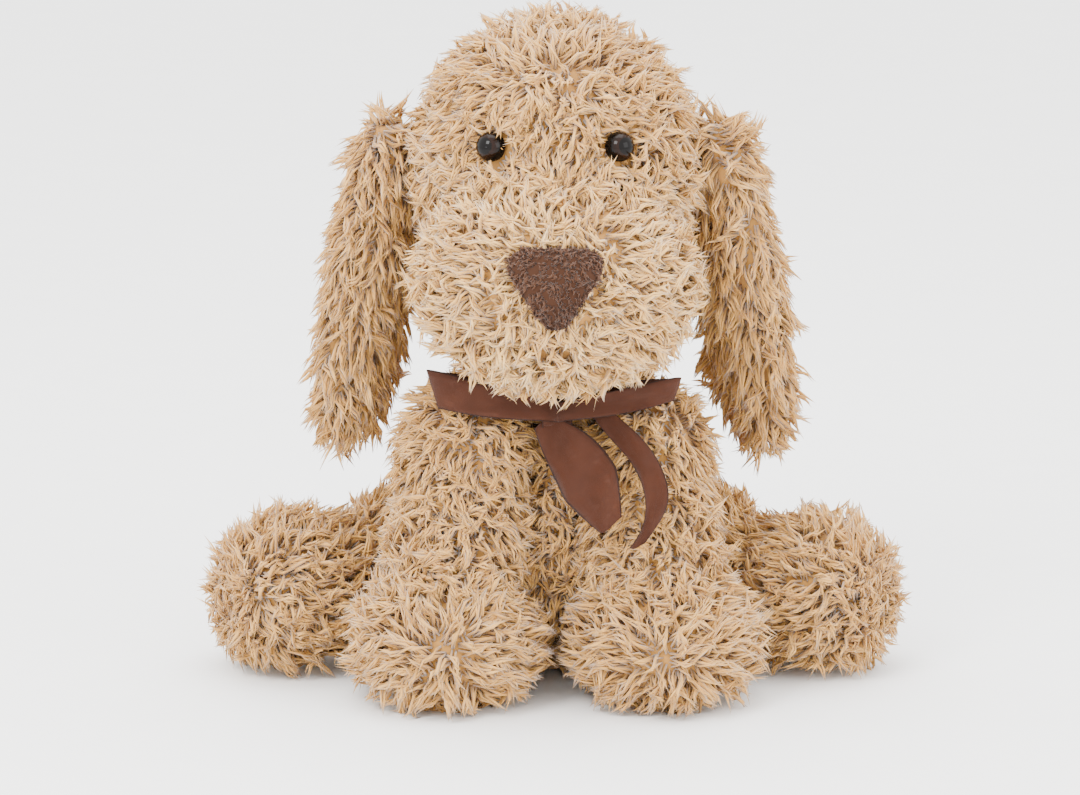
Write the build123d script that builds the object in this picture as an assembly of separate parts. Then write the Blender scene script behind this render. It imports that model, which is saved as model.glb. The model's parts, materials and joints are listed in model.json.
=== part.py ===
"""A sitting plush dog: furry shells over stuffing, with floppy ears and a bow.

Millimetres, +Z up. The dog faces -Y, and its own left side is +X. The origin is on
the surface that it sits on, under the middle of its bounding box. The outer faces are
the middle of the pile, so the tips of the fur stand a few millimetres further out.
"""

import os

from build123d import *

# Driving dimensions
PILE_WALL = 6.0  # woven backing with its dense inner pile
STUFFING_GAP = 0.3  # between a shell and its filling
JOINT_GAP = 0.5  # between pieces that move past each other
SWING_ROOM = 0.7  # more, round a front leg, whose tube swings past the chest

TORSO_RADIUS = 58.0
TORSO_HALF_HEIGHT = 86.0
TORSO_CENTRE = Vector(0, 22, 66)
PELLET_BAG_RADIUS = 19.5
PELLET_BAG_HALF_HEIGHT = 12.5
PELLET_BAG_ROUNDING = 10.0
PELLET_BAG_CENTRE = Vector(0, 3, 20.5)

NECK_CENTRE = Vector(0, 8, 152)
NECK_RADIUS = 30.0
CRANIUM_CENTRE = Vector(0, -4, 229)
CRANIUM_RADIUS = 62.0
CRANIUM_HALF_HEIGHT = 66.0
MUZZLE_CENTRE = Vector(0, -50, 187)
MUZZLE_RADIUS = 48.5
MUZZLE_HALF_WIDTH = 61.0

EYE_PLACE = Vector(28, -57, 247)  # on the pile of the cranium
EYE_FACING = Vector(0.33, -0.93, 0.12)
EYE_RADIUS = 6.5
EYE_SINK = 2.0
SHANK_RADIUS = 2.0
SHANK_LENGTH = 15.0
WASHER_RADIUS = 7.0
WASHER_THICKNESS = 1.6
WASHER_DEPTH = 11.0
STEM_GRIP_GAP = 0.05

NOSE_WIDTH = 54.0  # between the points that its round corners are cut from
NOSE_RISE = 13.0
NOSE_DROP = 26.0
NOSE_CORNER = 7.0
NOSE_CENTRE_Z = 197.0
NOSE_THICKNESS = 1.6
NOSE_GAP = 0.1

EAR_HINGE = Vector(68, 3, 252)
EAR_LENGTH = 158.0
EAR_HALF_WIDTH = 30.0
EAR_TIP_HEIGHT = 42.0  # of the round end, below the widest place
EAR_FLATTENING = 1 / 3
EAR_LEAN = 9.8  # degrees, outwards at the tip
EAR_TURN = 25.0  # degrees, front edge outwards

SHOULDER = Vector(38, -20, 105)
SHOULDER_RADIUS = 30.0
FRONT_LEG_RADIUS = 29.0
FRONT_WRIST = Vector(45.5, -45, 40)
FRONT_PAW = Vector(47, -50, 27)
FRONT_PAW_RADIUS = 40.0
FRONT_PAW_HALF_HEIGHT = 32.0
SOLE_THICKNESS = 2.0
FRONT_SOLE_RADIUS = 19.0

HIP = Vector(58, 34, 39)
HIP_RADIUS = 38.5
HIND_LEG_RADIUS = 28.0
HIND_FOOT = Vector(117, 5, 34)
HIND_FOOT_RADIUS = 35.0
HIND_FOOT_HALF_LENGTH = 36.0
HIND_SOLE_REACH = 30.0  # from the middle of the foot to the flat of its sole
HIND_SOLE_RADIUS = 18.0

TAIL_ROOT = Vector(0, 79, 34)
TAIL_ROOT_RADIUS = 11.5
TAIL_RADIUS = 11.0
TAIL_HALF_LENGTH = 15.0
TAIL_REACH = 5.0
TAIL_WALL = 4.0

BAND_CENTRE = Vector(0, 8, 144.5)
BAND_RADIUS = 36.0
BAND_THICKNESS = 4.5
BAND_TILT = 14.0  # degrees, low at the throat
KNOT_CENTRE = Vector(1, -40.5, 127)
KNOT_RADIUS = 6.5
LOOP_CENTRE = Vector(31, -47, 132.5)
LOOP_HALF_LENGTH = 22.0
LOOP_HALF_HEIGHT = 6.5
LOOP_THICKNESS = 7.0
TAIL_RIBBON_THICKNESS = 1.6
TAIL_RIBBON_LIFT = 1.5  # off the front of the leg
WIDE_TAIL_OUTLINE = [(-6, 4), (8, 4), (26, -6), (25, -36), (18, -29), (0, -12)]
NARROW_TAIL_OUTLINE = [(0, 4), (9, 4), (36, -7), (45, -22), (45, -36), (37, -46), (33, -40), (35, -24)]

LABEL_SIZE = (18.0, 20.0, 0.8)
LABEL_PLACE = Vector(20, 77.6, 14)


def spheroid(radius, half_height):
    """An ellipse turned about its own upright axis."""
    arc = EllipticalCenterArc((0, 0), radius, half_height, start_angle=-90, arc_size=180)
    profile = make_face(arc + Line((0, half_height), (0, -half_height)))
    return revolve(Plane.XZ * profile, Axis.Z)


def placed(shape, centre, axis=Vector(0, 0, 1)):
    """The shape with its own Z along the axis and its middle at the centre."""
    return Plane(origin=centre, z_dir=axis).location * shape


def rod(start, end, radius):
    """A round bar between two points."""
    span = end - start
    return placed(Cylinder(radius, span.length), (start + end) / 2, span)


def above(height):
    """Everything that a piece may fill over this height."""
    return Pos(0, 0, height + 200) * Box(600, 600, 400)


def largest(shape):
    """The main body of a cut, without the crumbs that it leaves."""
    return max(shape.solids(), key=lambda solid: solid.volume)


def sided(point, side):
    """The point on the dog's left (1) or right (-1) side."""
    return Vector(point.X * side, point.Y, point.Z)


def front_leg(side, inset):
    """The volume of a front leg, its whole surface moved inwards by the inset."""
    paw = spheroid(FRONT_PAW_RADIUS - inset, FRONT_PAW_HALF_HEIGHT - inset)
    shoulder = sided(SHOULDER, side)
    wrist = sided(FRONT_WRIST, side)
    shape = placed(Sphere(SHOULDER_RADIUS - inset), shoulder, wrist - shoulder)
    shape += rod(shoulder, wrist, FRONT_LEG_RADIUS - inset)
    shape += placed(paw, sided(FRONT_PAW, side))
    return shape & above(max(inset, 0))


def hind_axis(side):
    """The way that a hind foot points, level with the floor."""
    return sided(HIND_FOOT - Vector(HIP.X, HIP.Y, HIND_FOOT.Z), side).normalized()


def hind_leg(side, inset):
    """The volume of a hind leg, its whole surface moved inwards by the inset."""
    foot = spheroid(HIND_FOOT_RADIUS - inset, HIND_FOOT_HALF_LENGTH - inset)
    hip = sided(HIP, side)
    middle = sided(HIND_FOOT, side)
    axis = hind_axis(side)
    shape = placed(Sphere(HIP_RADIUS - inset), hip, middle - hip)
    shape += rod(hip, middle, HIND_LEG_RADIUS - inset)
    shape += placed(foot, middle, axis)
    beyond_sole = Pos(0, 0, 50) * Cylinder(60, 100)
    shape -= placed(beyond_sole, middle + axis * (HIND_SOLE_REACH - inset), axis)
    return shape & above(max(inset, 0))


def cranium(inset):
    egg = spheroid(CRANIUM_RADIUS - inset, CRANIUM_HALF_HEIGHT - inset)
    return placed(egg, CRANIUM_CENTRE)


def muzzle(inset):
    barrel = spheroid(MUZZLE_RADIUS - inset, MUZZLE_HALF_WIDTH - inset)
    return placed(barrel, MUZZLE_CENTRE, Vector(1, 0, 0))


def limb_sockets(margin):
    """What the legs, the neck and the tail take out of the torso."""
    sockets = [
        placed(Sphere(NECK_RADIUS + margin), NECK_CENTRE),
        placed(Sphere(TAIL_ROOT_RADIUS + margin), TAIL_ROOT),
    ]
    for side in (1, -1):
        hip = sided(HIP, side)
        below_hip = Pos(hip.X, hip.Y, hip.Z / 2) * Cylinder(HIP_RADIUS + margin, hip.Z)
        hip_socket = placed(Sphere(HIP_RADIUS + margin), hip)
        sockets += [front_leg(side, -margin - SWING_ROOM), hip_socket, below_hip]
    return sockets


def torso(inset):
    """The torso's volume, hollowed where the limbs lie against it."""
    egg = spheroid(TORSO_RADIUS - inset, TORSO_HALF_HEIGHT - inset)
    shape = placed(egg, TORSO_CENTRE) & above(inset)
    for socket in limb_sockets(JOINT_GAP + inset):
        shape -= socket
    return largest(shape)


def pellet_bag(margin):
    """A round pouch, or with a margin the room that it lies in."""
    pouch = Cylinder(PELLET_BAG_RADIUS + margin, 2 * (PELLET_BAG_HALF_HEIGHT + margin))
    rims = pouch.edges().filter_by(GeomType.CIRCLE)
    return placed(fillet(rims, PELLET_BAG_ROUNDING + margin), PELLET_BAG_CENTRE)


def torso_pieces():
    stuffing = torso(PILE_WALL + STUFFING_GAP) - pellet_bag(STUFFING_GAP)
    return {
        "torso_skin": torso(0) - torso(PILE_WALL),
        "torso_stuffing": stuffing,
        "pellet_bag": pellet_bag(0),
        "care_label": Pos(LABEL_PLACE) * Box(*LABEL_SIZE),
        "neck_stuffing": placed(Sphere(NECK_RADIUS), NECK_CENTRE),
    }


def eye_frame(side, depth):
    """An eye's own frame, with its Z out of the head, at a depth under the pile."""
    facing = sided(EYE_FACING, side).normalized()
    return Plane(origin=sided(EYE_PLACE, side) - facing * depth, z_dir=facing).location


def eye(side):
    """A domed button with the stem that goes through the cloth."""
    dome = CenterArc((0, 0), EYE_RADIUS, 0, 90)
    stem_end = (SHANK_RADIUS, -SHANK_LENGTH)
    stem = Polyline((0, EYE_RADIUS), (0, -SHANK_LENGTH), stem_end, (SHANK_RADIUS, 0), (EYE_RADIUS, 0))
    return eye_frame(side, EYE_SINK) * revolve(Plane.XZ * make_face(dome + stem), Axis.Z)


def eye_washer(side):
    """The toothed ring that grips the stem behind the cloth."""
    ring = Cylinder(WASHER_RADIUS, WASHER_THICKNESS)
    ring -= Cylinder(SHANK_RADIUS + STEM_GRIP_GAP, WASHER_THICKNESS)
    return eye_frame(side, WASHER_DEPTH) * ring


def eye_rooms(side):
    """The seat, the stem hole and the washer's space for an eye."""
    gap = STUFFING_GAP
    seat = Pos(0, 0, 10) * Cylinder(EYE_RADIUS + gap, 20)
    hole = Pos(0, 0, -SHANK_LENGTH / 2) * Cylinder(SHANK_RADIUS + gap, SHANK_LENGTH + 2 * gap)
    washer_space = Cylinder(WASHER_RADIUS + gap, WASHER_THICKNESS + 2 * gap)
    return [
        eye_frame(side, EYE_SINK) * seat,
        eye_frame(side, EYE_SINK) * hole,
        eye_frame(side, WASHER_DEPTH) * washer_space,
    ]


def nose_prism():
    """A triangle with round corners, point down, through the front of the muzzle."""
    half = NOSE_WIDTH / 2
    corners = [(-half, NOSE_RISE), (half, NOSE_RISE), (0, -NOSE_DROP)]
    triangle = fillet(make_face(Polyline(*corners, close=True)).vertices(), NOSE_CORNER)
    return Pos(0, MUZZLE_CENTRE.Y, NOSE_CENTRE_Z) * extrude(Plane.XZ * triangle, 80)


def head_pieces():
    neck_room = placed(Sphere(NECK_RADIUS + JOINT_GAP), NECK_CENTRE)
    skin = cranium(0) - cranium(PILE_WALL) - muzzle(0) - neck_room
    filling = cranium(PILE_WALL + STUFFING_GAP) + muzzle(PILE_WALL + STUFFING_GAP) - neck_room
    for room in eye_rooms(1) + eye_rooms(-1):
        skin -= room
        filling -= room
    return {
        "head_skin": largest(skin),
        "muzzle_skin": muzzle(0) - cranium(0) - muzzle(PILE_WALL) - neck_room,
        "head_stuffing": largest(filling),
        "nose_patch": nose_prism() & (muzzle(-NOSE_THICKNESS) - muzzle(-NOSE_GAP)),
    }


def ear_halves(side):
    """An ear's outer pile and its lining, met at a flat seam."""
    half = EAR_HALF_WIDTH
    widest = -EAR_LENGTH + EAR_TIP_HEIGHT
    crown = [(0, 4), (0.6 * half, 4), (0.6 * half, 0.3 * widest), (half, 0.5 * widest), (half, widest)]
    top_edge = Bezier(*crown)
    tip_edge = EllipticalCenterArc((0, widest), half, EAR_TIP_HEIGHT, start_angle=0, arc_size=-90)
    profile = make_face(top_edge + tip_edge + Line((0, -EAR_LENGTH), (0, 4)))
    drop = revolve(Plane.XZ * profile, Axis.Z)
    flap = scale(drop, by=(EAR_FLATTENING, 1, 1))
    stand = Location(sided(EAR_HINGE, side), (0, -EAR_LEAN * side, EAR_TURN * side), Extrinsic.XYZ)
    to_left = stand * split(flap, bisect_by=Plane.YZ, keep=Keep.TOP)
    to_right = stand * split(flap, bisect_by=Plane.YZ, keep=Keep.BOTTOM)
    outer, lining = (to_left, to_right) if side > 0 else (to_right, to_left)
    return {"ear_outer": outer, "ear_lining": lining}


def sole_disc(radius):
    """A short-pile panel let in flush, its face at Z 0."""
    return Pos(0, 0, -SOLE_THICKNESS / 2) * Cylinder(radius, SOLE_THICKNESS)


def leg_pieces(side):
    """Shell, filling and sole of the two legs on one side."""
    front_sole = sided(FRONT_PAW, side)
    front_sole.Z = 0
    hind_sole = sided(HIND_FOOT, side) + hind_axis(side) * HIND_SOLE_REACH
    soles = {
        "front": placed(sole_disc(FRONT_SOLE_RADIUS), front_sole, Vector(0, 0, -1)),
        "hind": placed(sole_disc(HIND_SOLE_RADIUS), hind_sole, hind_axis(side)),
    }
    pieces = {}
    for name, leg in (("front", front_leg), ("hind", hind_leg)):
        pieces[f"{name}_leg_skin"] = leg(side, 0) - leg(side, PILE_WALL) - soles[name]
        pieces[f"{name}_leg_stuffing"] = leg(side, PILE_WALL + STUFFING_GAP)
        pieces[f"{name}_sole"] = soles[name]
    return pieces


def tail(inset):
    """The volume of the stub tail."""
    stub = spheroid(TAIL_RADIUS - inset, TAIL_HALF_LENGTH - inset)
    reach = TAIL_ROOT + Vector(0, TAIL_REACH, 0)
    return placed(Sphere(TAIL_ROOT_RADIUS - inset), TAIL_ROOT) + placed(stub, reach, Vector(0, 1, 0))


def ribbon_tail(outline, layer):
    """A flat end of the bow on the front of the left leg, in layers counted from the leg."""
    down_leg = FRONT_PAW - SHOULDER
    lie = Vector(0, down_leg.Y, down_leg.Z).normalized()
    out = Vector(0, lie.Z, -lie.Y)
    step = TAIL_RIBBON_THICKNESS + STUFFING_GAP
    start = SHOULDER + out * (SHOULDER_RADIUS + TAIL_RIBBON_LIFT + layer * step)
    sheet = Plane(origin=(0, start.Y, start.Z), x_dir=(1, 0, 0), z_dir=out)
    face = make_face(Polyline(*outline, close=True))
    return sheet.location * extrude(face, TAIL_RIBBON_THICKNESS)


def bow_pieces():
    band = Location(BAND_CENTRE, (BAND_TILT, 0, 0)) * Torus(BAND_RADIUS, BAND_THICKNESS)
    loop = extrude(Plane.XZ * Ellipse(LOOP_HALF_LENGTH, LOOP_HALF_HEIGHT), LOOP_THICKNESS / 2, both=True)
    return {
        "ribbon_band": band,
        "ribbon_knot": Pos(KNOT_CENTRE) * Sphere(KNOT_RADIUS),
        "ribbon_loop_left": Pos(sided(LOOP_CENTRE, 1)) * loop,
        "ribbon_loop_right": Pos(sided(LOOP_CENTRE, -1)) * loop,
        "ribbon_tail_wide": ribbon_tail(WIDE_TAIL_OUTLINE, 0),
        "ribbon_tail_narrow": ribbon_tail(NARROW_TAIL_OUTLINE, 1),
    }


def paired_pieces():
    """Every piece that the dog has on both sides, named by the dog's own sides."""
    both = {}
    for word, side in (("left", 1), ("right", -1)):
        one_side = {**ear_halves(side), **leg_pieces(side)}
        one_side["eye"] = eye(side)
        one_side["eye_washer"] = eye_washer(side)
        both.update({f"{name}_{word}": shape for name, shape in one_side.items()})
    return both


def all_pieces():
    pieces = {**torso_pieces(), **head_pieces(), **paired_pieces(), **bow_pieces()}
    pieces["tail_skin"] = tail(0) - tail(TAIL_WALL)
    pieces["tail_stuffing"] = tail(TAIL_WALL + STUFFING_GAP)
    return pieces


os.makedirs("parts", exist_ok=True)
for node, solid in all_pieces().items():
    export_step(solid, f"parts/{node}.step")
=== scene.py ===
import json
import math

import bmesh
import bpy
import numpy as np
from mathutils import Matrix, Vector

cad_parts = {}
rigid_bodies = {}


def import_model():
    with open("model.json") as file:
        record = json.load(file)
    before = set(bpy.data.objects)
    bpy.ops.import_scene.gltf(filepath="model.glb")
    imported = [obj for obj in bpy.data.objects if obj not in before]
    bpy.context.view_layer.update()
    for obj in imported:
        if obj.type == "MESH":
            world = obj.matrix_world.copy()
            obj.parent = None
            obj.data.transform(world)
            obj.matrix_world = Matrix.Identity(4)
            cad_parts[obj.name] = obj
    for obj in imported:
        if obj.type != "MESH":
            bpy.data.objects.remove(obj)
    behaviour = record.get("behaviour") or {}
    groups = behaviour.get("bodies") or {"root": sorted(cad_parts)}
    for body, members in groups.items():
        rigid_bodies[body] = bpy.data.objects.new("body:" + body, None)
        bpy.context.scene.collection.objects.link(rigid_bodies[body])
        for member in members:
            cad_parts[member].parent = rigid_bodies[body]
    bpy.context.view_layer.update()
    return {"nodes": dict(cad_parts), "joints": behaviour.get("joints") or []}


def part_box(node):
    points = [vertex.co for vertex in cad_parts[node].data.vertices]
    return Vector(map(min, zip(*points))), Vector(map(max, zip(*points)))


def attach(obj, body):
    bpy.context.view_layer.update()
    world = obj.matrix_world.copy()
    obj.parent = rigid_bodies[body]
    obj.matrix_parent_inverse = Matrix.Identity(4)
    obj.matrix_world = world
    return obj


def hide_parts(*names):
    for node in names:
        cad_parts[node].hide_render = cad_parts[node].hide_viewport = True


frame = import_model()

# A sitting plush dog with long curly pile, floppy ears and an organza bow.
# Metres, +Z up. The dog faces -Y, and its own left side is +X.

hinges = {joint["name"]: np.array(joint["pos_m"], float) for joint in frame["joints"]}
SIDES = {"left": 1, "right": -1}

# --- Filling: siliconised polyester fibre in every part, a cotton bag of plastic
# --- pellets low in the body for weight, and plastic lock washers behind the eyes.
# --- It is blown and laid in through seams that are then closed by hand.


class Amount:
    """One number inside a node tree. Plain arithmetic on it adds the Math nodes."""

    def __init__(self, recipe, socket):
        self.recipe, self.socket = recipe, socket

    def maths(self, operation, *values):
        sockets = dict(enumerate(values))
        return self.recipe.amount("ShaderNodeMath", {"operation": operation}, sockets)

    def __add__(self, other):
        return self.maths("ADD", self, other)

    def __sub__(self, other):
        return self.maths("SUBTRACT", self, other)

    def __rsub__(self, other):
        return self.maths("SUBTRACT", other, self)

    def __mul__(self, other):
        return self.maths("MULTIPLY", self, other)

    def __truediv__(self, other):
        return self.maths("DIVIDE", self, other)

    def __pow__(self, other):
        return self.maths("POWER", self, other)

    __radd__ = __add__
    __rmul__ = __mul__


class Recipe:
    """A node tree that is filled in one node at a time."""

    def __init__(self, tree):
        self.tree = tree

    def node(self, kind, settings, sockets):
        made = self.tree.nodes.new(kind)
        for name, value in settings.items():
            if name == "stops":
                ramp = made.color_ramp
                while len(ramp.elements) < len(value):
                    ramp.elements.new(1.0)
                for element, (place, colour) in zip(ramp.elements, value):
                    element.position = place
                    element.color = colour
            else:
                setattr(made, name, value)
        for name, value in sockets.items():
            value = value.socket if isinstance(value, Amount) else value
            if isinstance(value, bpy.types.NodeSocket):
                self.tree.links.new(value, made.inputs[name])
            else:
                made.inputs[name].default_value = value
        return made

    def amount(self, kind, settings, sockets, output=0):
        return Amount(self, self.node(kind, settings, sockets).outputs[output])

    def vector(self, operation, *values, output=0):
        sockets = dict(enumerate(values))
        return self.amount("ShaderNodeVectorMath", {"operation": operation}, sockets, output)

    def noise(self, place, scale, detail=2.0, output=0):
        sockets = {"Vector": place, "Scale": scale, "Detail": detail}
        return self.amount("ShaderNodeTexNoise", {}, sockets, output)


def dye(red, green, blue):
    """A colour given in everyday 0 to 255 numbers, as linear light."""
    linear = [
        c / 12.92 if c <= 0.04045 else ((c + 0.055) / 1.055) ** 2.4
        for c in (red / 255, green / 255, blue / 255)
    ]
    return (*linear, 1.0)


class Finish(Recipe):
    """A surface finish: one Principled shader and the nodes that feed it."""

    def __init__(self, name, fixed):
        self.material = bpy.data.materials.new(name)
        self.material.use_nodes = True
        super().__init__(self.material.node_tree)
        self.surface = self.tree.nodes["Principled BSDF"]
        for socket, value in fixed.items():
            self.surface.inputs[socket].default_value = value
        self.place = self.amount("ShaderNodeTexCoord", {}, {}, "Object")

    def ramp(self, value, stops):
        return self.amount("ShaderNodeValToRGB", {"stops": stops}, {0: value})

    def mix(self, share, first, second):
        settings = {"data_type": "RGBA"}
        return self.amount("ShaderNodeMix", settings, {0: share, 6: first, 7: second}, 2)

    def feed(self, socket, value):
        self.tree.links.new(value.socket, self.surface.inputs[socket])

    def emboss(self, height, depth, strength=0.6):
        sockets = {"Height": height, "Distance": depth, "Strength": strength}
        self.feed("Normal", self.amount("ShaderNodeBump", {}, sockets))

    def weave(self, place, pitch):
        """The over and under of a plain weave, from 0 to 1."""
        scaled = self.vector("SCALE", place)
        scaled.socket.node.inputs["Scale"].default_value = math.tau / pitch
        parts = self.node("ShaderNodeSeparateXYZ", {}, {0: scaled}).outputs
        across = Amount(self, parts[0]).maths("SINE", parts[0])
        along = Amount(self, parts[1]).maths("SINE", Amount(self, parts[1]) + Amount(self, parts[2]))
        return across * along * 0.5 + 0.5


def refinish(node_names, finish):
    """Gives carried-over nodes their finish."""
    for node_name in node_names:
        for place in frame["nodes"][node_name].material_slots:
            place.material = finish.material


wadding = Finish("fibre_wadding", {"Roughness": 0.95, "Sheen Weight": 0.3})
matted = wadding.noise(wadding.place, 420.0, 6.0)
wadding.feed("Base Color", wadding.ramp(matted, [(0.3, dye(205, 203, 196)), (0.7, dye(247, 246, 242))]))
wadding.emboss(matted, 0.0008)
refinish([name for name in frame["nodes"] if name.endswith("stuffing") or "_stuffing_" in name], wadding)

calico = Finish("bag_calico", {"Roughness": 0.9})
calico_weave = calico.weave(calico.place, 0.0009)
calico.feed("Base Color", calico.mix(calico_weave, dye(196, 184, 160), dye(230, 222, 203)))
calico.emboss(calico_weave, 0.0002)
refinish(["pellet_bag"], calico)

nylon = Finish("washer_nylon", {"Roughness": 0.45, "IOR": 1.53})
moulded = nylon.noise(nylon.place, 900.0)
nylon.feed("Base Color", nylon.mix(moulded, dye(222, 222, 218), dye(236, 236, 233)))
nylon.emboss(moulded, 0.00005)
refinish(["eye_washer_left", "eye_washer_right"], nylon)

# --- Body: an egg of knitted backing with a long curly pile, closed underneath, with
# --- round sockets where the neck and the legs are sewn in. The filling pushes the
# --- backing out, and the pile stands up in wavy locks that mat together at the tips.

PILE_DEPTH = 0.0036  # from the middle of the pile down to the knitted backing
SLACK = 0.0025  # how much smaller the backing is before the filling pushes it out
KNIT_STEP = 0.005
EVEN_ROUNDS = 3  # of smoothing, which take out the steps of the remesh
LOCK_LENGTH = 0.0125
STRANDS = 5
STRAND_RADII = (0.00050, 0.00068, 0.00054)  # at the root, a third up and two thirds up
STRAND_STATIONS = (0.0, 0.34, 0.68)
LOCK_KINDS = 6
BODY_HALF_HEIGHT = 0.086
FLOOR_CLEARANCE = 0.0004  # no strand goes lower than this
STRAND_SPREAD = 0.012  # how far the sides of a strand differ in shade
# The backing between the locks takes the pile's colour a third of the way up a strand, darkened like the
# roots: painted shade under the pile.
KNIT_SHADE = (0.3, 0.3, 0.0)  # where the backing takes its colour from the pile's own

knit_shelf = bpy.data.collections.new("locks")


def mesh_object(name, points, faces):
    mesh = bpy.data.meshes.new(name)
    mesh.from_pydata([tuple(p) for p in points], [], faces)
    mesh.update()
    made = bpy.data.objects.new(name, mesh)
    bpy.context.scene.collection.objects.link(made)
    return made


def settled(obj):
    """obj with its modifiers made part of its mesh."""
    graph = bpy.context.evaluated_depsgraph_get()
    mesh = bpy.data.meshes.new_from_object(
        obj.evaluated_get(graph), preserve_all_data_layers=True, depsgraph=graph
    )
    obj.modifiers.clear()
    old = obj.data
    obj.data = mesh
    bpy.data.meshes.remove(old)
    return obj


def corners(mesh):
    flat = np.empty(len(mesh.vertices) * 3, np.float32)
    mesh.vertices.foreach_get("co", flat)
    return flat.reshape(-1, 3).astype(float)


def facing(mesh):
    flat = np.empty(len(mesh.vertices) * 3, np.float32)
    mesh.vertex_normals.foreach_get("vector", flat)
    return flat.reshape(-1, 3).astype(float)


def move_to(mesh, points):
    mesh.vertices.foreach_set("co", np.asarray(points, np.float32).ravel())
    mesh.update()


def joined_copy(name, node_names):
    """A copy of CAD nodes in one mesh, with the loose triangles merged."""
    work = bmesh.new()
    for node_name in node_names:
        work.from_mesh(frame["nodes"][node_name].data)
    bmesh.ops.remove_doubles(work, verts=work.verts, dist=1e-6)
    mesh = bpy.data.meshes.new(name)
    work.to_mesh(mesh)
    work.free()
    made = bpy.data.objects.new(name, mesh)
    bpy.context.scene.collection.objects.link(made)
    return made


def keep_outside(obj):
    """Leaves only the connected skin that spans the most, without pockets inside it."""
    work = bmesh.new()
    work.from_mesh(obj.data)
    left = set(work.verts)
    skins = []
    while left:
        reached = [left.pop()]
        skin = list(reached)
        while reached:
            for edge in reached.pop().link_edges:
                for vert in edge.verts:
                    if vert in left:
                        left.remove(vert)
                        reached.append(vert)
                        skin.append(vert)
        skins.append(skin)

    def span(skin):
        points = np.array([v.co for v in skin])
        return float(np.ptp(points, axis=0).sum())

    skins.sort(key=span)
    bmesh.ops.delete(work, geom=[v for skin in skins[:-1] for v in skin], context="VERTS")
    work.to_mesh(obj.data)
    work.free()


def stuffed_backing(
    name, node_names, depth=PILE_DEPTH, slack=SLACK, step=KNIT_STEP, rounds=EVEN_ROUNDS
):
    """The knitted backing of a part: remeshed, a little small, then blown up by the filling."""
    backing = joined_copy(name, node_names)
    remesh = backing.modifiers.new("knit", "REMESH")
    remesh.mode = "VOXEL"
    remesh.voxel_size = step
    settled(backing)
    keep_outside(backing)
    smooth = backing.modifiers.new("even", "SMOOTH")
    smooth.iterations = rounds
    smooth.factor = 0.5
    settled(backing)
    start = corners(backing.data)
    outward = facing(backing.data)
    small = start - outward * (depth + slack)
    move_to(backing.data, small)
    cloth = backing.modifiers.new("filling", "CLOTH")
    cloth.settings.use_pressure = True
    cloth.settings.uniform_pressure_force = 4
    cloth.settings.effector_weights.gravity = 0
    cloth.settings.quality = 4
    cloth.collision_settings.use_collision = False
    cloth.point_cache.frame_end = 20
    for moment in range(1, 21):
        bpy.context.scene.frame_set(moment)
    settled(backing)
    moved = corners(backing.data) - small
    risen = (moved * outward).sum(1, keepdims=True)
    moved += outward * np.maximum(0, slack * 0.9 - risen)
    reach = np.linalg.norm(moved, axis=1, keepdims=True)
    move_to(backing.data, small + moved * np.minimum(1, slack * 1.5 / np.maximum(reach, 1e-9)))
    bpy.context.scene.frame_set(1)
    finer = backing.modifiers.new("finer", "SUBSURF")
    finer.levels = finer.render_levels = 1
    settled(backing)
    return backing


def make_lock(number):
    """One lock of pile: closed three-sided strands that lean and curl together to +X."""
    chance = np.random.default_rng(40 + number)
    points, faces, along, across = [], [], [], []
    curl = chance.uniform(0.32, 0.74)
    hook = chance.uniform(-0.12, 0.20)
    for strand in range(STRANDS):
        angle = math.tau * (strand + chance.uniform(-0.3, 0.3)) / STRANDS
        root = np.array([math.cos(angle), math.sin(angle), 0]) * 0.0013
        stray = np.append(chance.normal(0, 0.0009, 2), 0)
        length = LOCK_LENGTH * chance.uniform(0.78, 1.1)
        first = len(points)

        def spine(t):
            lean = np.array([curl * t**1.7 - hook * t**4, 0.10 * math.sin(5 * t + angle), 1.0])
            rise = np.array([length, length, length * (t - 0.22 * t * t * curl)])
            return root * (1 - 0.72 * t) + stray * t + lean * rise

        for station, radius in zip(STRAND_STATIONS, STRAND_RADII):
            for corner in range(3):
                turn = math.tau * corner / 3 + angle
                ring = np.array([math.cos(turn), math.sin(turn), 0]) * radius
                points.append(spine(station) + ring)
                along.append(station)
                across.append(corner - 1.0)
        points.append(spine(1.0))
        along.append(1.0)
        across.append(0.0)
        for level in range(2):
            for corner in range(3):
                low = first + 3 * level + corner
                low_next = first + 3 * level + (corner + 1) % 3
                faces.append((low, low_next, low_next + 3, low + 3))
        for corner in range(3):
            faces.append((first + 6 + corner, first + 6 + (corner + 1) % 3, first + 9))
        faces.append((first + 2, first + 1, first))
    mesh = bpy.data.meshes.new(f"lock_{number}")
    mesh.from_pydata([tuple(p) for p in points], [], faces)
    for name, values in (("along", along), ("across", across)):
        mesh.attributes.new(name, "FLOAT", "POINT").data.foreach_set("value", values)
    lock = bpy.data.objects.new(f"lock_{number}", mesh)
    knit_shelf.objects.link(lock)


for number in range(LOCK_KINDS):
    make_lock(number)


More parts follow.
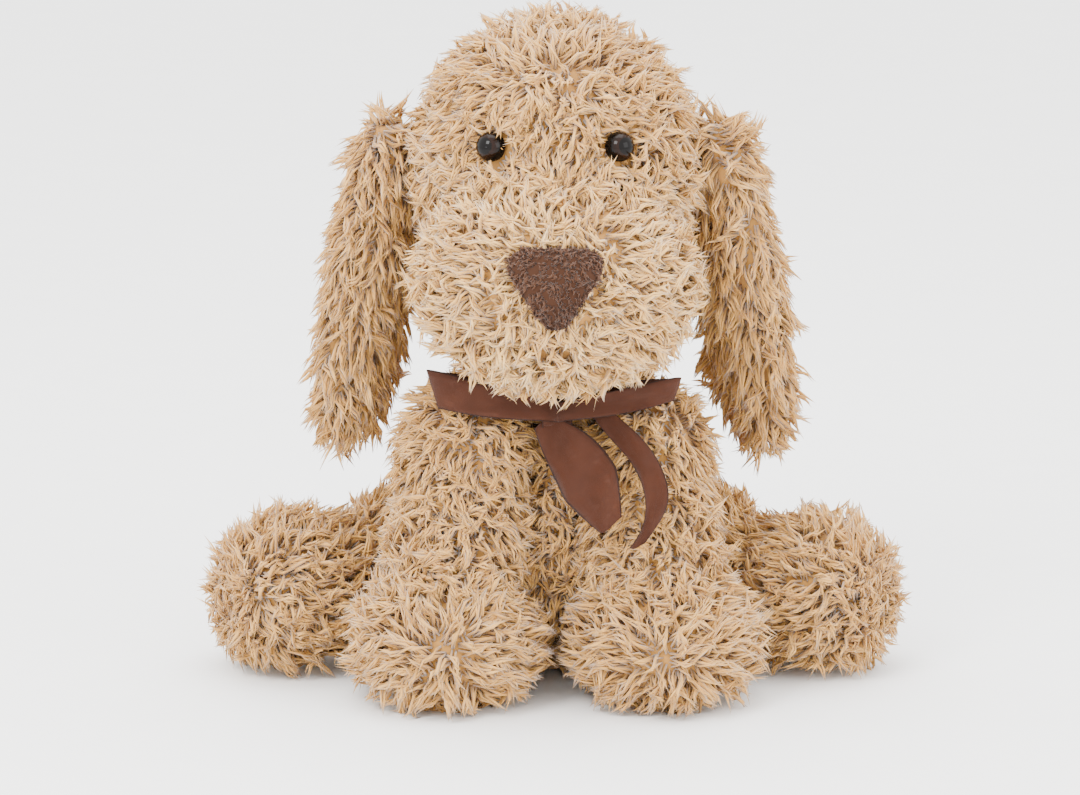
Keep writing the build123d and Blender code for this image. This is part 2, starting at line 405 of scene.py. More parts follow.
def pile_loom():
    """A tree that plants locks over a backing, combs and curls them, and joins them to it."""
    tree = bpy.data.node_groups.new("pile_loom", "GeometryNodeTree")
    given = {
        "Backing": "Geometry", "Spacing": "Float", "Length": "Float", "Girth": "Float",
        "Lean": "Float", "Ruffle": "Float", "Curl": "Float", "Seed": "Int",
        "Locks": "Collection", "Finish": "Material",
    }
    for name, kind in given.items():
        tree.interface.new_socket(name, in_out="INPUT", socket_type=f"NodeSocket{kind}")
    tree.interface.new_socket("Pile", in_out="OUTPUT", socket_type="NodeSocketGeometry")
    loom = Recipe(tree)
    entry = loom.node("NodeGroupInput", {}, {}).outputs
    named = {name: Amount(loom, entry[name]) for name in given}

    def brushed(name, kind):
        return loom.amount("GeometryNodeInputNamedAttribute", {"data_type": kind}, {"Name": name})

    def chance(low, high, shift):
        sockets = {2: low, 3: high, "Seed": named["Seed"] + float(shift)}
        return loom.amount("FunctionNodeRandomValue", {"data_type": "FLOAT"}, sockets, 1)

    planted = loom.node(
        "GeometryNodeDistributePointsOnFaces",
        {"distribute_method": "POISSON"},
        {"Mesh": named["Backing"], "Distance Min": named["Spacing"], "Density Max": 400000.0,
         "Density Factor": brushed("keep", "FLOAT"), "Seed": named["Seed"]},
    ).outputs
    place = loom.amount("GeometryNodeInputPosition", {}, {})
    comb = brushed("comb", "FLOAT_VECTOR")
    leaning = loom.vector("SCALE", comb)
    loom.tree.links.new(named["Lean"].socket, leaning.socket.node.inputs["Scale"])
    patch = loom.vector("SUBTRACT", loom.noise(place, 75.0, 1.0, 1), (0.5, 0.5, 0.5))
    ruffled = loom.vector("SCALE", patch)
    loom.tree.links.new((named["Ruffle"] * 3.2).socket, ruffled.socket.node.inputs["Scale"])
    sockets = {0: (-1.0,) * 3, 1: (1.0,) * 3, "Seed": named["Seed"] + 11.0}
    stray = loom.amount("FunctionNodeRandomValue", {"data_type": "FLOAT_VECTOR"}, sockets, 0)
    strayed = loom.vector("SCALE", stray)
    loom.tree.links.new((named["Ruffle"] * 0.75).socket, strayed.socket.node.inputs["Scale"])
    swept = loom.vector("ADD", leaning, loom.vector("ADD", ruffled, strayed))
    way = loom.vector("ADD", planted["Normal"], swept)
    upright = loom.amount("FunctionNodeAlignRotationToVector", {"axis": "Z"}, {"Vector": way})
    settings = {"axis": "X", "pivot_axis": "Z"}
    bent = loom.amount(
        "FunctionNodeAlignRotationToVector", settings, {"Rotation": upright, "Vector": swept}
    )
    spin = loom.node("ShaderNodeCombineXYZ", {}, {"Z": chance(-0.9, 0.9, 1)}).outputs[0]
    twist = loom.amount("FunctionNodeEulerToRotation", {}, {0: spin})
    turned = loom.amount(
        "FunctionNodeRotateRotation", {"rotation_space": "LOCAL"}, {"Rotation": bent, "Rotate By": twist}
    )
    height = chance(0.82, 1.22, 2) * named["Length"] * brushed("height", "FLOAT")
    width = chance(0.85, 1.25, 3) * named["Girth"]
    size = loom.node("ShaderNodeCombineXYZ", {}, {"X": width, "Y": width, "Z": height}).outputs[0]
    tuft = loom.node(
        "GeometryNodeCollectionInfo", {}, {"Collection": named["Locks"], "Separate Children": True,
                                           "Reset Children": True},
    ).outputs[0]
    sockets = {4: 0, 5: LOCK_KINDS - 1, "Seed": named["Seed"] + 4.0}
    choice = loom.amount("FunctionNodeRandomValue", {"data_type": "INT"}, sockets, 2)
    set_in = loom.node(
        "GeometryNodeInstanceOnPoints", {},
        {"Points": planted["Points"], "Instance": tuft, "Pick Instance": True,
         "Instance Index": choice, "Rotation": turned, "Scale": size},
    ).outputs[0]
    shade = brushed("tone", "FLOAT") + (loom.noise(place, 55.0) - 0.5) * 0.45 + chance(-0.13, 0.13, 5)
    shade = shade.maths("MINIMUM", shade.maths("MAXIMUM", shade, 0.03), 0.97)
    dyed = loom.node(
        "GeometryNodeStoreNamedAttribute", {"data_type": "FLOAT", "domain": "INSTANCE"},
        {"Geometry": set_in, "Name": "tint", "Value": shade},
    ).outputs[0]
    grown = loom.node("GeometryNodeRealizeInstances", {}, {"Geometry": dyed}).outputs[0]
    up = brushed("along", "FLOAT")
    wave = loom.vector("SUBTRACT", loom.noise(place, 130.0, 2.0, 1), (0.5, 0.5, 0.5))
    waved = loom.vector("SCALE", wave)
    loom.tree.links.new((up ** 1.5 * named["Curl"]).socket, waved.socket.node.inputs["Scale"])
    curled = loom.node("GeometryNodeSetPosition", {}, {"Geometry": grown, "Offset": waved}).outputs[0]
    parts = loom.node("ShaderNodeSeparateXYZ", {}, {0: place}).outputs
    above_floor = Amount(loom, parts[2]).maths("MAXIMUM", parts[2], FLOOR_CLEARANCE)
    resting = loom.node(
        "ShaderNodeCombineXYZ", {}, {"X": parts[0], "Y": parts[1], "Z": above_floor}
    ).outputs[0]
    rested = loom.node("GeometryNodeSetPosition", {}, {"Geometry": curled, "Position": resting}).outputs[0]
    strand_place = loom.node(
        "ShaderNodeCombineXYZ", {},
        {"X": brushed("tint", "FLOAT") + brushed("across", "FLOAT") * STRAND_SPREAD, "Y": up},
    ).outputs[0]
    mapped = loom.node(
        "GeometryNodeStoreNamedAttribute", {"data_type": "FLOAT2", "domain": "CORNER"},
        {"Geometry": rested, "Name": "OFBake", "Value": strand_place},
    ).outputs[0]
    coloured = loom.node(
        "GeometryNodeSetMaterial", {}, {"Geometry": mapped, "Material": named["Finish"]}
    ).outputs[0]
    # The backing takes a root-darkened pile colour: painted shade under the locks.
    knit_mapped = loom.node(
        "GeometryNodeStoreNamedAttribute", {"data_type": "FLOAT2", "domain": "CORNER"},
        {"Geometry": named["Backing"], "Name": "OFBake", "Value": KNIT_SHADE},
    ).outputs[0]
    backed = loom.node(
        "GeometryNodeSetMaterial", {}, {"Geometry": knit_mapped, "Material": named["Finish"]}
    ).outputs[0]
    whole = loom.node("GeometryNodeJoinGeometry", {}, {})
    tree.links.new(backed, whole.inputs[0])
    tree.links.new(coloured, whole.inputs[0])
    leaving = loom.node("NodeGroupOutput", {}, {})
    tree.links.new(whole.outputs[0], leaving.inputs[0])
    return tree


LOOM = pile_loom()
LOOM_INPUTS = {item.name: item.identifier for item in LOOM.interface.items_tree if item.in_out == "INPUT"}


def brush(backing, comb, height=1.0, keep=1.0, tone=0.5):
    """Writes on the backing how its pile lies, how long it is, how thick and how pale."""
    mesh = backing.data
    count = len(mesh.vertices)
    flat = facing(mesh)
    lying = comb - flat * (comb * flat).sum(1, keepdims=True)
    reach = np.maximum(np.linalg.norm(lying, axis=1, keepdims=True), 1e-6)
    strength = np.minimum(reach, 1.0)
    mesh.attributes.new("comb", "FLOAT_VECTOR", "POINT").data.foreach_set(
        "vector", (lying / reach * strength).astype(np.float32).ravel()
    )
    for name, values in (("height", height), ("keep", keep), ("tone", tone)):
        spread = np.broadcast_to(np.asarray(values, np.float32), (count,)).copy()
        mesh.attributes.new(name, "FLOAT", "POINT").data.foreach_set("value", spread)


def grow_pile(
    backing, finish, seed, spacing=0.0027, length=1.0, girth=1.0, lean=0.55, ruffle=0.5, curl=0.0105
):
    """Plants the pile on a brushed backing and makes both one plain mesh."""
    machine = backing.modifiers.new("pile", "NODES")
    machine.node_group = LOOM
    given = {
        "Spacing": spacing, "Length": length, "Girth": girth, "Lean": lean, "Ruffle": ruffle,
        "Curl": curl, "Seed": seed, "Locks": knit_shelf, "Finish": finish.material,
    }
    for name, value in given.items():
        machine[LOOM_INPUTS[name]] = value
    settled(backing)
    for name in ("comb", "height", "keep", "tone", "tint", "along", "across"):
        if name in backing.data.attributes:
            backing.data.attributes.remove(backing.data.attributes[name])
    backing.data.shade_smooth()
    return backing


def within(points, centre, radius):
    """1 inside the ball, 0 outside it."""
    return (np.linalg.norm(points - centre, axis=1) < radius).astype(float)


def inside_body(points):
    """1 well inside the egg of the body, where nothing of a leg can be seen."""
    low, high = (np.array(corner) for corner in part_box("torso_skin"))
    half = np.array([(high[0] - low[0]) / 2, (high[1] - low[1]) / 2, BODY_HALF_HEIGHT])
    centre = np.array([0, (low[1] + high[1]) / 2, high[2] - BODY_HALF_HEIGHT])
    return ((((points - centre) / half) ** 2).sum(1) < 0.75).astype(float)


pile = Finish("curly_pile", {"Roughness": 0.82, "Sheen Weight": 0.35, "Sheen Roughness": 0.55,
                             "Specular IOR Level": 0.18})
strand_map = pile.node("ShaderNodeUVMap", {"uv_map": "OFBake"}, {}).outputs[0]
strand_parts = pile.node("ShaderNodeSeparateXYZ", {}, {0: strand_map}).outputs
tips = pile.ramp(strand_parts[0], [
    (0.0, dye(156, 104, 42)), (0.35, dye(190, 139, 68)),
    (0.65, dye(212, 163, 90)), (1.0, dye(231, 192, 124)),
])
# Each strand darkens towards its root: painted shade deep in the pile.
shaded_roots = pile.mix(0.6, tips, dye(96, 58, 24))
rise = pile.ramp(strand_parts[1], [(0.0, (0.0, 0.0, 0.0, 1.0)), (0.62, (1.0, 1.0, 1.0, 1.0))])
pile.feed("Base Color", pile.mix(rise, shaded_roots, tips))

torso = stuffed_backing("torso_pile", ["torso_skin", "torso_stuffing"])
spots = corners(torso.data)
sockets_at = [(hinges["head_turn"], 0.031)]
sockets_at += [(hinges[f"front_leg_{side}_swing"], 0.031) for side in SIDES]
sockets_at += [(hinges[f"hind_leg_{side}_swing"], 0.039) for side in SIDES]
covered = np.minimum(1, sum(within(spots, centre, radius) for centre, radius in sockets_at))
under = spots[:, 2] < 0.012
brush(
    torso,
    np.array([0.0, 0.0, -1.0]) * np.ones_like(spots) * 0.6,
    height=np.where(under, 0.5, 1.0),
    keep=np.where(under, 0.4, 1.0) * (1 - 0.96 * covered),
    tone=0.42,
)
grow_pile(torso, pile, seed=3, lean=0.45, ruffle=0.75)
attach(torso, "torso")
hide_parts("torso_skin")

# --- Neck: a stuffed collar of the same pile that fills the gap between the body and
# --- the head, sewn to both, so the head can turn and nod over it.

neck = stuffed_backing("neck_pile", ["neck_stuffing"], depth=0.004)
spots = corners(neck.data)
brush(neck, (spots - hinges["head_turn"]) * 20 * np.array([1, 1, 0.2]), height=0.8, keep=0.55, tone=0.36)
grow_pile(neck, pile, seed=5, lean=0.3, ruffle=0.6)
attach(neck, "neck")
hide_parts("neck_stuffing")

# --- Head: a tall round cranium with a broad muzzle sewn to its front. The pile runs
# --- out from a whorl on the forehead and away from the nose, and is brushed clear of
# --- the eyes. The muzzle is paler, where the tips are bleached.

WHORL = np.array([0.0, -0.045, 0.279])
EYE_CLEAR = 0.0068
EYE_BRUSHED = 0.017


def middle(node_name):
    low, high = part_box(node_name)
    return np.array((low + high) / 2)


nose_centre = middle("nose_patch")
muzzle_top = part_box("muzzle_skin")[1][2]
head = stuffed_backing("head_pile", ["head_skin", "muzzle_skin", "head_stuffing"])
spots = corners(head.data)
muzzle_share = np.clip((muzzle_top + 0.004 - spots[:, 2]) / 0.014, 0, 1)
muzzle_share = muzzle_share * np.clip((-0.030 - spots[:, 1]) / 0.015, 0, 1)


def outwards(points, centre):
    away = points - centre
    return away / np.maximum(np.linalg.norm(away, axis=1, keepdims=True), 1e-6)


share = muzzle_share[:, None]
head_comb = outwards(spots, WHORL) * (1 - share) + outwards(spots, nose_centre) * share
head_keep = np.ones(len(spots))
head_height = np.where(muzzle_share > 0.5, 0.92, 1.0)
for side in SIDES:
    eye_spot = np.array(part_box(f"eye_{side}")[0]) * [0, 1, 0] + middle(f"eye_{side}") * [1, 0, 1]
    eye_spot[1] += 0.003
    apart = np.linalg.norm(spots - eye_spot, axis=1)
    near = np.clip((EYE_BRUSHED - apart) / (EYE_BRUSHED - EYE_CLEAR), 0, 1)
    head_comb = head_comb * (1 - near[:, None]) + outwards(spots, eye_spot) * near[:, None] * 1.6
    head_keep *= apart > EYE_CLEAR + 0.0012
    head_height *= 1 - 0.55 * near
nose_low, nose_high = (np.array(c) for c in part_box("nose_patch"))
across_nose = np.abs(spots[:, 0]) / (nose_high[0] + 0.001)
down_nose = np.clip((nose_high[2] - spots[:, 2]) / (nose_high[2] - nose_low[2]), 0, 1)
on_nose = (across_nose < 0.94 - 0.92 * down_nose**1.4) & (spots[:, 1] < -0.07)
on_nose &= (spots[:, 2] < nose_high[2] - 0.003) & (spots[:, 2] > nose_low[2])
head_keep *= ~on_nose
by_nose = np.clip(1 - (np.linalg.norm(spots - nose_centre, axis=1) - 0.016) / 0.016, 0, 1)
head_height *= 1 - 0.35 * by_nose
head_keep *= 1 - 0.95 * within(spots, hinges["head_turn"], 0.031)
brush(head, head_comb, head_height, head_keep, 0.5 + 0.17 * muzzle_share)
grow_pile(head, pile, seed=7, lean=0.55, ruffle=0.68)
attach(head, "head")
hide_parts("head_skin", "muzzle_skin")

# --- Eyes: domed safety eyes of moulded plastic with a painted pupil and a brown iris
# --- under a clear glossy face, pushed through the pile and locked with the washers.

PUPIL = 0.0034
IRIS = 0.0056

for side in SIDES:
    eye = Finish(f"eye_gloss_{side}", {"Roughness": 0.12, "Coat Weight": 0.16, "Coat Roughness": 0.02,
                                       "Specular IOR Level": 0.05})
    turn = Vector((0.33 * SIDES[side], -0.93, 0.12)).normalized()
    from_middle = eye.vector("SUBTRACT", eye.place, tuple(middle(f"eye_{side}")))
    square = eye.vector("DOT_PRODUCT", from_middle, from_middle, output="Value")
    depth = eye.vector("DOT_PRODUCT", from_middle, tuple(turn), output="Value")
    off_axis = square - depth * depth
    radius = off_axis.maths("SQRT", off_axis.maths("ABSOLUTE", off_axis))
    rings = eye.ramp(radius / EYE_CLEAR, [
        (0.0, dye(7, 5, 5)), (PUPIL / EYE_CLEAR, dye(8, 6, 5)),
        (PUPIL / EYE_CLEAR + 0.06, dye(30, 15, 8)),
        (IRIS / EYE_CLEAR, dye(22, 11, 6)), (IRIS / EYE_CLEAR + 0.08, dye(9, 7, 6)),
    ])
    streaks = eye.noise(eye.vector("NORMALIZE", from_middle), 26.0, 3.0)
    eye.feed("Base Color", eye.mix(streaks * 0.35, rings, dye(12, 8, 7)))
    refinish([f"eye_{side}"], eye)

# --- Nose: a rounded triangle of sheared velvet pile over a thin pad, appliqued to the
# --- front of the muzzle with its edge tucked under.

nose_velvet = Finish("nose_velvet", {"Roughness": 0.9, "Sheen Weight": 0.12, "Sheen Roughness": 0.4,
                                     "Specular IOR Level": 0.1})
velvet_map = nose_velvet.node("ShaderNodeUVMap", {"uv_map": "OFBake"}, {}).outputs[0]
velvet_parts = nose_velvet.node("ShaderNodeSeparateXYZ", {}, {0: velvet_map}).outputs
velvet_dyes = [(0.0, dye(50, 30, 20)), (0.5, dye(82, 52, 35)), (1.0, dye(112, 76, 54))]
velvet = nose_velvet.ramp(velvet_parts[0], velvet_dyes)
# Each velvet stub darkens towards its root: painted shade deep in the pile.
velvet_root_shade = nose_velvet.ramp(velvet_parts[1], [(0.0, dye(0, 0, 0)), (0.8, dye(255, 255, 255))])
nose_velvet.feed("Base Color", nose_velvet.mix(velvet_root_shade, dye(44, 26, 17), velvet))

NOSE_CROWN = 0.0055
nose = stuffed_backing(
    "nose_pad", ["nose_patch"], depth=-0.0010, slack=0.0004, step=0.0015, rounds=12
)
spots = corners(nose.data)
off_middle = (spots - nose_centre) / ((nose_high - nose_low) / 2)
dome = np.clip(1 - off_middle[:, 0] ** 2 * 0.8 - off_middle[:, 2] ** 2 * 0.5, 0, 1)
spots[:, 1] -= NOSE_CROWN * dome
move_to(nose.data, spots)
forward = facing(nose.data)[:, 1] < 0.2
brush(nose, outwards(spots, nose_centre + np.array([0, 0, 0.010])), 1.0, forward.astype(float),
      0.55 - 0.2 * np.clip(-off_middle[:, 2], 0, 1))
grow_pile(
    nose, nose_velvet, seed=9, spacing=0.00095, length=0.13, girth=0.34, lean=0.35, ruffle=0.3,
    curl=0.0004,
)
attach(nose, "head")
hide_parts("nose_patch")

# --- Ears: two long tongues each, sewn edge to edge with a little filling, and hung by
# --- their top edge from the side of the head. The pile hangs towards the tip.

EAR_FULLNESS = 0.007
EAR_TOP_FULLNESS = 0.005
EAR_INNER_FULLNESS = 0.004

for side in SIDES:
    ear = stuffed_backing(f"ear_pile_{side}", [f"ear_outer_{side}", f"ear_lining_{side}"], depth=0.004)
    spots = corners(ear.data)
    hanging = np.array([0.25 * SIDES[side], 0.0, -1.0]) * np.ones_like(spots)
    inner = facing(ear.data)[:, 0] * SIDES[side] < -0.3
    ear_bottom, ear_top = spots[:, 2].min(), spots[:, 2].max()
    hung = np.clip((ear_top - spots[:, 2]) / (ear_top - ear_bottom), 0, 1)
    swell = np.sin(np.pi * hung**0.6)
    spots[:, 0] += SIDES[side] * EAR_FULLNESS * swell * ~inner
    spots[:, 0] -= SIDES[side] * EAR_INNER_FULLNESS * swell * inner
    spots += facing(ear.data) * EAR_TOP_FULLNESS * np.clip(1 - hung / 0.25, 0, 1)[:, None]
    move_to(ear.data, spots)
    combed = hanging * np.clip(hung * 5, 0.15, 1)[:, None]
    brush(ear, combed, np.where(inner, 1.25, 1.15), np.where(inner, 0.8, 1.0), 0.45)
    grow_pile(ear, pile, seed=11, lean=0.75, ruffle=0.55)
    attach(ear, f"ear_{side}")
    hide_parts(f"ear_outer_{side}", f"ear_lining_{side}")

# --- Front legs: soft tubes that stand in front of the body and end in big round paws.
# --- The pile falls down the leg and opens out over the paw like a chrysanthemum.

SOLE_LOCK = 0.5  # of the length that the pile has elsewhere
PAW_UNDERSIDE = 0.010  # below this height a paw is pressed on the floor


def leg_nodes(pair, side):
    return [f"{pair}_leg_skin_{side}", f"{pair}_leg_stuffing_{side}", f"{pair}_sole_{side}"]


def short_sole(node_name, body, seed):
    """The sole's own disc of shorter pile."""
    sole_piece = joined_copy(f"{node_name}_pile", [node_name])
    points = corners(sole_piece.data)
    brush(sole_piece, outwards(points, points.mean(0)), 1.0, 1.0, 0.4)
    grow_pile(
        sole_piece, pile, seed, spacing=0.0022, length=SOLE_LOCK, girth=0.75, lean=0.4, ruffle=0.6,
        curl=0.003,
    )
    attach(sole_piece, body)
    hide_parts(node_name)


for side in SIDES:
    short_sole(f"front_sole_{side}", f"front_leg_{side}", 23)
    leg = stuffed_backing(f"front_leg_pile_{side}", leg_nodes("front", side))
    spots = corners(leg.data)
    paw = np.array([0.047 * SIDES[side], -0.084, 0.030])
    share = np.clip((0.062 - spots[:, 2]) / 0.022, 0, 1)[:, None]
    down = np.array([0.0, 0.0, -0.7]) * np.ones_like(spots)
    comb = down * (1 - share) + outwards(spots, paw) * share
    buried = inside_body(spots)
    under = spots[:, 2] < PAW_UNDERSIDE
    height = np.where(under, 0.5, 1.0 + 0.12 * share[:, 0])
    keep = np.where(under, 0.35, 1.0) * (1 - 0.9 * buried)
    brush(leg, comb, height, keep, 0.46)
    grow_pile(leg, pile, seed=13, lean=0.55, ruffle=0.55)
    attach(leg, f"front_leg_{side}")
    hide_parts(f"front_leg_skin_{side}")

# --- Hind legs: short tubes from the hips that stick out sideways along the floor, with
# --- round feet whose flat soles face outwards.

for side in SIDES:
    short_sole(f"hind_sole_{side}", f"hind_leg_{side}", 29)
    leg = stuffed_backing(f"hind_leg_pile_{side}", leg_nodes("hind", side))
    spots = corners(leg.data)
    sole = middle(f"hind_sole_{side}")
    buried = inside_body(spots)
    under = spots[:, 2] < PAW_UNDERSIDE
    on_sole = within(spots, sole, 0.013)
    keep = np.where(under, 0.35, 1.0) * (1 - 0.9 * buried) * (1 - 0.6 * on_sole)
    brush(leg, outwards(spots, sole), np.where(under, 0.5, 1.05) * (1 - 0.3 * on_sole), keep, 0.46)
    grow_pile(leg, pile, seed=17, lean=0.5, ruffle=0.55)
    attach(leg, f"hind_leg_{side}")
    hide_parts(f"hind_leg_skin_{side}")

# --- Tail: a short stuffed stub at the back, with its pile brushed to the tip.

tail = stuffed_backing("tail_pile", ["tail_skin", "tail_stuffing"], depth=0.0035, step=0.003)
spots = corners(tail.data)
brush(tail, outwards(spots, hinges["tail_wag"]), 1.0, 1.0, 0.5)
grow_pile(tail, pile, seed=19, lean=0.5, ruffle=0.5)
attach(tail, "tail")
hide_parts("tail_skin")

# --- Bow: sheer brown organza ribbon, passed once round the neck and tied under the chin
# --- in a bow with two loops and two cut ends, one lying wide and one folded narrow.

SELVEDGE_START = 0.93  # of the way from the middle of the ribbon to its edge
organza = Finish("brown_organza", {"Roughness": 0.5, "Sheen Weight": 0.05, "Sheen Roughness": 0.3,
                                   "Specular IOR Level": 0.15})
cloth_map = organza.node("ShaderNodeUVMap", {"uv_map": "ribbon"}, {}).outputs[0]
cloth_parts = organza.node("ShaderNodeSeparateXYZ", {}, {0: cloth_map}).outputs
threads = organza.weave(cloth_map, 0.0006)
creases = organza.noise(organza.place, 60.0, 3.0)
sheer = organza.mix(creases, dye(50, 24, 13), dye(80, 43, 27))
across_ribbon = Amount(organza, cloth_parts[0])
edge = across_ribbon.maths("ABSOLUTE", across_ribbon - 0.5) * 2
selvedge = edge.maths("GREATER_THAN", edge, SELVEDGE_START)
woven = organza.mix(threads * 0.25, sheer, dye(44, 20, 9))
organza.feed("Base Color", organza.mix(selvedge * 0.7, woven, dye(26, 11, 5)))
organza.emboss(threads + creases * 2.0, 0.0002)

RIPPLE = 0.0009
RIBBON_THICKNESS = 0.0003
BAND_RADIUS = 0.038
BAND_WIDTH = 0.014
KNOT_WIDTH = 0.013
LOOP_END_WIDTH = 0.009
LOOP_MEAN_WIDTHS = {"left": 0.0109, "right": 0.0154}
LOOP_SWELLS = {"left": 0.003, "right": 0.010}
WIDE_END_MEAN_WIDTH = 0.0216
NARROW_END_MEAN_WIDTH = 0.0105


def ribbon(name, line, width_at, side_at, steps=24, across=7):
    """A strip of ribbon along a line, with its width and its cross direction at each place."""
    points, faces, places = [], [], []
    for i in range(steps + 1):
        t = i / steps
        centre, cross = Vector(line(t)), Vector(side_at(t)).normalized()
        for j in range(across):
            s = j / (across - 1) - 0.5
            crease = Vector((0, RIPPLE * math.sin(13 * t + 6 * s), RIPPLE * math.cos(9 * t - 4 * s)))
            points.append(centre + cross * (s * width_at(t)) + crease)
            places.append((s + 0.5, t))
    for i in range(steps):
        for j in range(across - 1):
            a = i * across + j
            faces.append((a, a + 1, a + across + 1, a + across))
    strip = mesh_object(name, points, faces)
    layer = strip.data.uv_layers.new(name="ribbon")
    for loop in strip.data.loops:
        layer.data[loop.index].uv = places[loop.vertex_index]
    thick = strip.modifiers.new("cloth", "SOLIDIFY")
    thick.thickness = RIBBON_THICKNESS
    thick.offset = 0
    settled(strip)
    strip.data.materials.append(organza.material)
    strip.data.shade_smooth()
    return strip


def strip_length(line, steps=48):
    dots = [Vector(line(i / steps)) for i in range(steps + 1)]
    return sum((b - a).length for a, b in zip(dots, dots[1:]))


def tie_in(strip, line, width, body, held, rests_on, *nodes):
    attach(strip, body)
    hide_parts(*nodes)
    strip_length(line)


knot = middle("ribbon_knot")
band_middle = middle("ribbon_band")


def band_line(t):
    turn = math.tau * t - math.pi / 2
    return (BAND_RADIUS * math.cos(turn), band_middle[1] + BAND_RADIUS * math.sin(turn) * 0.97,
            band_middle[2] + 0.009 * math.sin(turn))


band = ribbon(
    "ribbon_neck_band", band_line, lambda t: BAND_WIDTH, lambda t: (0, 0.25, 1), steps=60, across=5
)
tie_in(band, band_line, BAND_WIDTH, "torso", "stretched", ["neck_pile"], "ribbon_band")

for side in SIDES:
    loop_low, loop_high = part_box(f"ribbon_loop_{side}")

    def loop_line(t, tip_x=(loop_high if side == "left" else loop_low)[0],
                  centre=middle(f"ribbon_loop_{side}")):
        out = math.sin(math.pi * t) ** 0.8
        return (knot[0] + (tip_x - knot[0]) * out, knot[1] - 0.006 - 0.006 * math.cos(math.tau * t / 2),
                knot[2] + 0.003 + (centre[2] - knot[2] + 0.003) * out)

    def loop_width(t, swell=LOOP_SWELLS[side]):
        return LOOP_END_WIDTH + swell * math.sin(math.pi * t)

    def loop_cross(t, sign=SIDES[side]):
        return (0.28 * sign, 0.1, 1)

    loop = ribbon(f"ribbon_bow_loop_{side}", loop_line, loop_width, loop_cross, steps=36)
    tie_in(
        loop, loop_line, LOOP_MEAN_WIDTHS[side], "torso", "folded", ["torso_pile"], f"ribbon_loop_{side}"
    )


def knot_line(t):
    turn = math.tau * t
    return (knot[0], knot[1] - 0.004 + 0.0075 * math.cos(turn), knot[2] + 0.0085 * math.sin(turn))


knot_wrap = ribbon(
    "ribbon_knot_wrap", knot_line, lambda t: KNOT_WIDTH, lambda t: (1, 0, 0), steps=28, across=5
)
tie_in(knot_wrap, knot_line, KNOT_WIDTH, "torso", "folded", ["ribbon_neck_band"], "ribbon_knot")

wide_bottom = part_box("ribbon_tail_wide")[0][2]
narrow_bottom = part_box("ribbon_tail_narrow")[0][2]


def wide_line(t):
    x = knot[0] - 0.006 + 0.029 * t + 0.003 * math.sin(math.pi * t)
    z = knot[2] - 0.002 + (wide_bottom + 0.004 - knot[2]) * t
    y = knot[1] - 0.010 - 0.024 * t**1.2
    return (x, y, z)


def wide_width(t):
    opened = math.sin(min(1, t * 1.6) * math.pi / 2)
    cut_to_point = 1 - 0.92 * max(0, t - 0.6) / 0.4
    return 0.010 + 0.018 * opened * cut_to_point


wide_end = ribbon("ribbon_wide_end", wide_line, wide_width, lambda t: (1, -0.1, 0.75), steps=26)
tie_in(
    wide_end, wide_line, WIDE_END_MEAN_WIDTH, "ribbon_tails", "hung", ["front_leg_pile_left"],
    "ribbon_tail_wide",
)


def narrow_line(t):
    x = knot[0] + 0.018 + 0.026 * math.sin(t * math.pi * 0.72) - 0.004 * t**3
    z = knot[2] + 0.003 + (narrow_bottom - knot[2]) * t
    y = knot[1] - 0.008 - 0.032 * t**0.8
    return (x, y, z)


def narrow_width(t):
    return 0.009 + 0.003 * math.sin(4 * t)


narrow_end = ribbon(
    "ribbon_narrow_end", narrow_line, narrow_width, lambda t: (1, -0.25, 0.25), steps=30, across=5
)
tie_in(
    narrow_end, narrow_line, NARROW_END_MEAN_WIDTH, "ribbon_tails", "hung", ["front_leg_pile_left"],
    "ribbon_tail_narrow",
)

# --- Care label: a blank tag of white satin, caught in the seam low at the back.

satin = Finish("label_satin", {"Roughness": 0.35, "Sheen Weight": 0.4})
satin_weave = satin.weave(satin.place, 0.0005)
satin.feed("Base Color", satin.mix(satin_weave, dye(226, 226, 222), dye(248, 248, 246)))
satin.emboss(satin_weave, 0.0001)
LABEL_WIDTH = 0.018
label_low, label_high = (np.array(c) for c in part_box("care_label"))


def label_line(t):
    back = label_low[1] + (label_high[1] + 0.002 - label_low[1]) * t
    return ((label_low[0] + label_high[0]) / 2, back, label_high[2] - 0.004 * t * t)


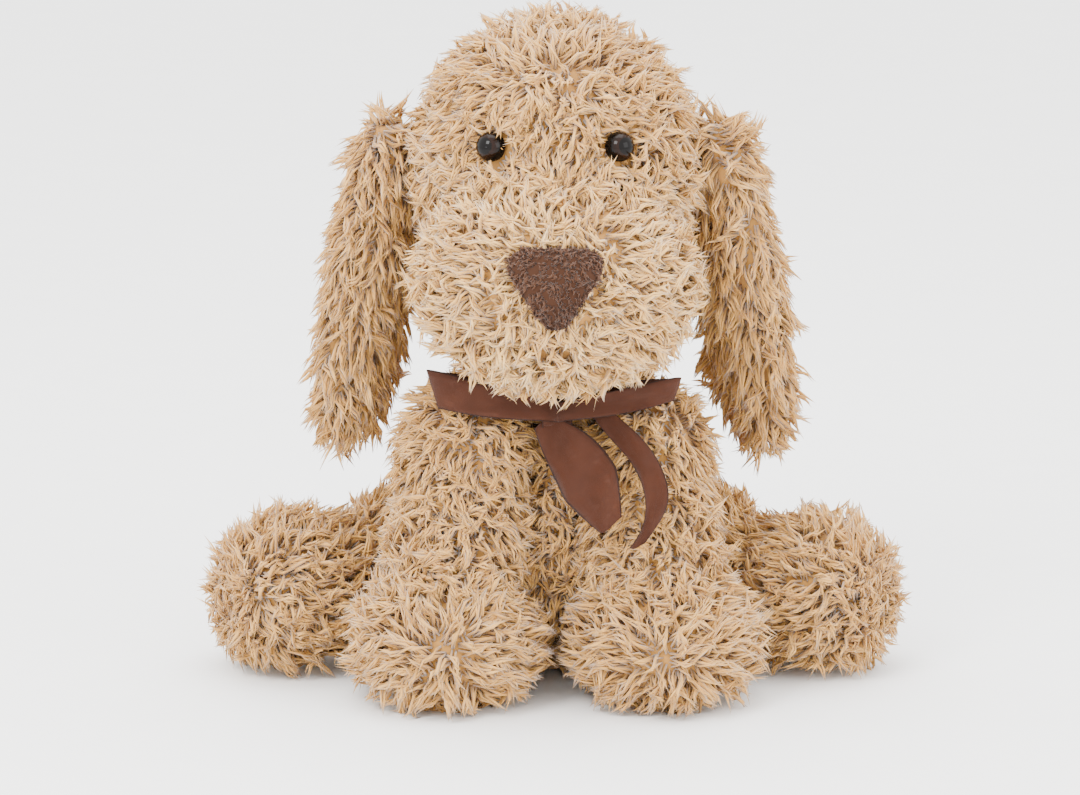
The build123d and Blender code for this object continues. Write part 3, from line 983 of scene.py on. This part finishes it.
label = ribbon("care_tag", label_line, lambda t: LABEL_WIDTH, lambda t: (1, 0, 0.02), steps=12)
label.data.materials.clear()
label.data.materials.append(satin.material)
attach(label, "torso")
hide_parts("care_label")
strip_length(label_line)

for lock in list(knit_shelf.objects):
    bpy.data.objects.remove(lock)

# --- Studio: a pale sweep under soft light from all round, seen from the front and a
# --- little above.

floor = mesh_object("studio_floor", [(-4, -4, 0), (4, -4, 0), (4, 4, 0), (-4, 4, 0)], [(0, 1, 2, 3)])
paper = Finish("studio_paper", {"Roughness": 0.9, "Specular IOR Level": 0.1})
paper_grain = paper.noise(paper.place, 30.0)
paper.feed("Base Color", paper.mix(paper_grain, dye(243, 243, 242), dye(247, 247, 246)))
floor.data.materials.append(paper.material)

world = bpy.data.worlds.new("studio")
world.use_nodes = True
world.node_tree.nodes["Background"].inputs["Color"].default_value = (1.0, 1.0, 1.0, 1.0)
world.node_tree.nodes["Background"].inputs["Strength"].default_value = 3.5
bpy.context.scene.world = world


def softbox(name, place, aim, size, power):
    light = bpy.data.lights.new(name, "AREA")
    light.shape = "SQUARE"
    light.size = size
    light.energy = power
    holder = bpy.data.objects.new(name, light)
    holder.location = place
    holder.rotation_euler = (Vector(aim) - Vector(place)).to_track_quat("-Z", "Y").to_euler()
    bpy.context.scene.collection.objects.link(holder)


softbox("key_light", (-0.55, -0.85, 1.05), (0, 0, 0.15), 0.5, 17.0)
softbox("fill_light", (0.9, -0.7, 0.6), (0, 0, 0.15), 0.7, 6.0)
softbox("top_light", (0.0, 0.2, 1.3), (0, 0, 0.1), 0.8, 11.0)

VIEW_ELEVATION = math.radians(13.0)
VIEW_DISTANCE = 2.60
LENS = 199.0
VIEW_AIM = Vector((-0.0065, -0.030, 0.1310))
camera_data = bpy.data.cameras.new("camera")
camera_data.lens = LENS
camera = bpy.data.objects.new("camera", camera_data)
view_way = Vector((0, -math.cos(VIEW_ELEVATION), math.sin(VIEW_ELEVATION)))
camera.location = VIEW_AIM + view_way * VIEW_DISTANCE
camera.rotation_euler = (math.pi / 2 - VIEW_ELEVATION, 0, 0)
bpy.context.scene.collection.objects.link(camera)
bpy.context.scene.camera = camera
